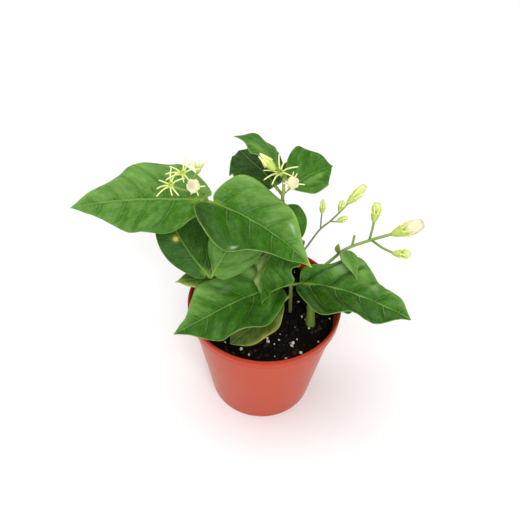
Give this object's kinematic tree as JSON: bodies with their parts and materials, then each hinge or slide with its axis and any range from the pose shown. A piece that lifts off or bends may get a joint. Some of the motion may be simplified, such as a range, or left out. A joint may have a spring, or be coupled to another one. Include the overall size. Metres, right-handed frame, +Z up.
{
  "type": "potted arabian jasmine",
  "caption": "Young bushy jasmine with glossy paired leaves, star calyces and cream buds, in a tapered nursery pot of soil.",
  "frame": {"origin": "centre of the pot's underside, on the ground", "axes": "+Z up through the pot; -Y towards the front; +X to the right as seen from the front"},
  "size_m": [0.2389, 0.1383, 0.2089],
  "materials": {
    "terracotta_plastic": "soft satin orange-red moulding",
    "soil": "dark crumbly soil with pale perlite grains",
    "young_stem": "smooth green bark",
    "thin_stem": "brown-green bark",
    "glossy_leaf": "glossy mid green with pale veins",
    "dark_leaf": "satin dark green with pale veins",
    "yellow_leaf": "matt yellow-green with a darker middle",
    "calyx": "satin yellow-green",
    "petals": "matt cream white"
  },
  "bodies": {
    "root": {"pot": "terracotta_plastic", "soil": "soil", "stem_left": "young_stem", "stem_short": "young_stem", "stem_middle": "thin_stem", "stem_right": "young_stem", "leaf_left": "glossy_leaf", "leaf_centre": "glossy_leaf", "leaf_back_left": "dark_leaf", "leaf_back_middle": "dark_leaf", "leaf_front_left": "glossy_leaf", "leaf_hanging": "dark_leaf", "leaf_right": "glossy_leaf", "leaf_top_small": "glossy_leaf", "leaf_top_back": "dark_leaf", "leaf_top_right": "dark_leaf", "leaf_behind_centre": "dark_leaf", "leaf_low_left": "dark_leaf", "leaf_old_yellow": "yellow_leaf", "leaf_low_back": "dark_leaf", "leaf_low_middle": "dark_leaf", "leaf_middle_back": "dark_leaf", "leaf_low_right": "dark_leaf", "leaf_spray_large": "glossy_leaf", "leaf_spray_small": "glossy_leaf", "cluster_left": "calyx", "bud_left": "petals", "cluster_top": "calyx", "bud_top": "petals", "spray_upper": "calyx", "bud_upper_tip": "petals", "bud_upper_left": "petals", "bud_upper_low": "petals", "bud_upper_middle": "petals", "spray_right": "calyx", "bud_right_open": "petals", "bud_right_upright": "petals", "bud_right_low": "petals"}
  },
  "joints": []
}
